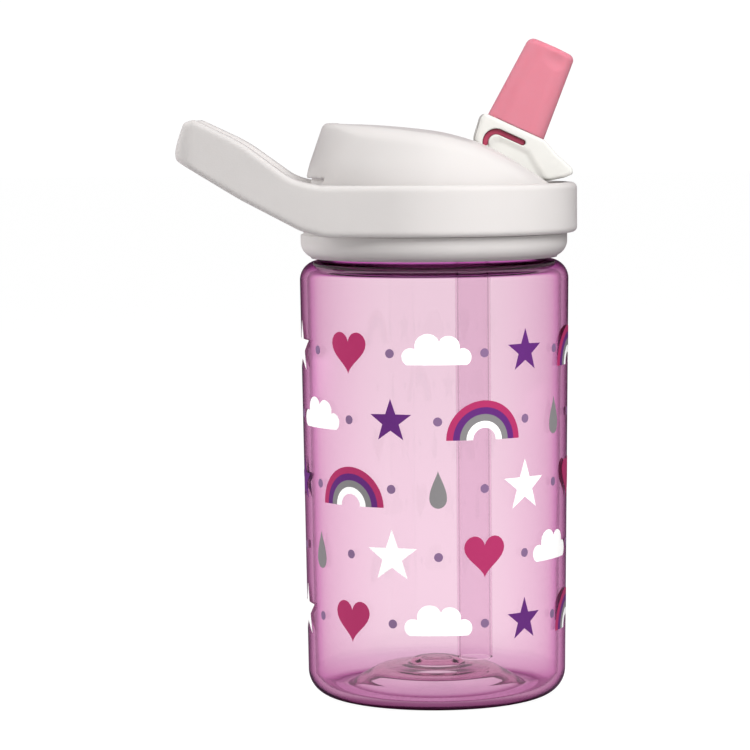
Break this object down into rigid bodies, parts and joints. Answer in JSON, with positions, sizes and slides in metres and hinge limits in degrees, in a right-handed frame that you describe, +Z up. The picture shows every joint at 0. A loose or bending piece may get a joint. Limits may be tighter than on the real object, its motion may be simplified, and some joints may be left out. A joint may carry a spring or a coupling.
{
  "type": "kids water bottle",
  "caption": "Clear tinted bottle with a screw cap, a raised finger-loop handle, a domed top and a fold-down sip spout fed by a straw.",
  "frame": {"origin": "centre of the standing ring under the bottle, in the plane of the table", "axes": "+Z up along the bottle's axis; +X towards the side on which the spout opens, with the handle loop on the -X side; +Y away from the viewer of that side"},
  "size_m": [0.1086, 0.0778, 0.1784],
  "materials": {
    "tinted_clear_plastic": "clear, glossy, tinted lilac pink",
    "white_plastic": "smooth satin",
    "stem_plastic": "smooth, slightly glossy",
    "pink_silicone": "soft satin silicone",
    "white_silicone": "soft satin silicone",
    "clear_straw_plastic": "clear, glossy",
    "printed_ink": "screen-printed ink in white, grey, violet and magenta"
  },
  "bodies": {
    "bottle": {"bottle": "tinted_clear_plastic"},
    "gasket": {"rim_gasket": "white_silicone"},
    "cap": {"cap_collar": "white_plastic", "cap_dome": "white_plastic", "carry_handle": "white_plastic", "stem_seal": "white_silicone", "vent_valve": "white_silicone", "straw": "clear_straw_plastic"},
    "spout": {"spout_stem": "stem_plastic", "bite_valve": "pink_silicone"}
  },
  "joints": [
    {"name": "cap_lift", "type": "slide", "parent": "bottle", "child": "gasket", "axis": [0, 0, 1], "range_m": [0, 0.012]},
    {"name": "cap_turn", "type": "hinge", "parent": "gasket", "child": "cap", "pos_m": [0, 0, 0.1285], "axis": [0, 0, 1], "range_deg": [0, 360]},
    {"name": "spout_flip", "type": "hinge", "parent": "cap", "child": "spout", "pos_m": [0.0178, 0, 0.1445], "axis": [0, -1, 0], "range_deg": [0, 103]}
  ],
  "couplings": [
    {"joint": "cap_lift", "follows": "cap_turn", "m_per_rad": 0.0019098}
  ]
}
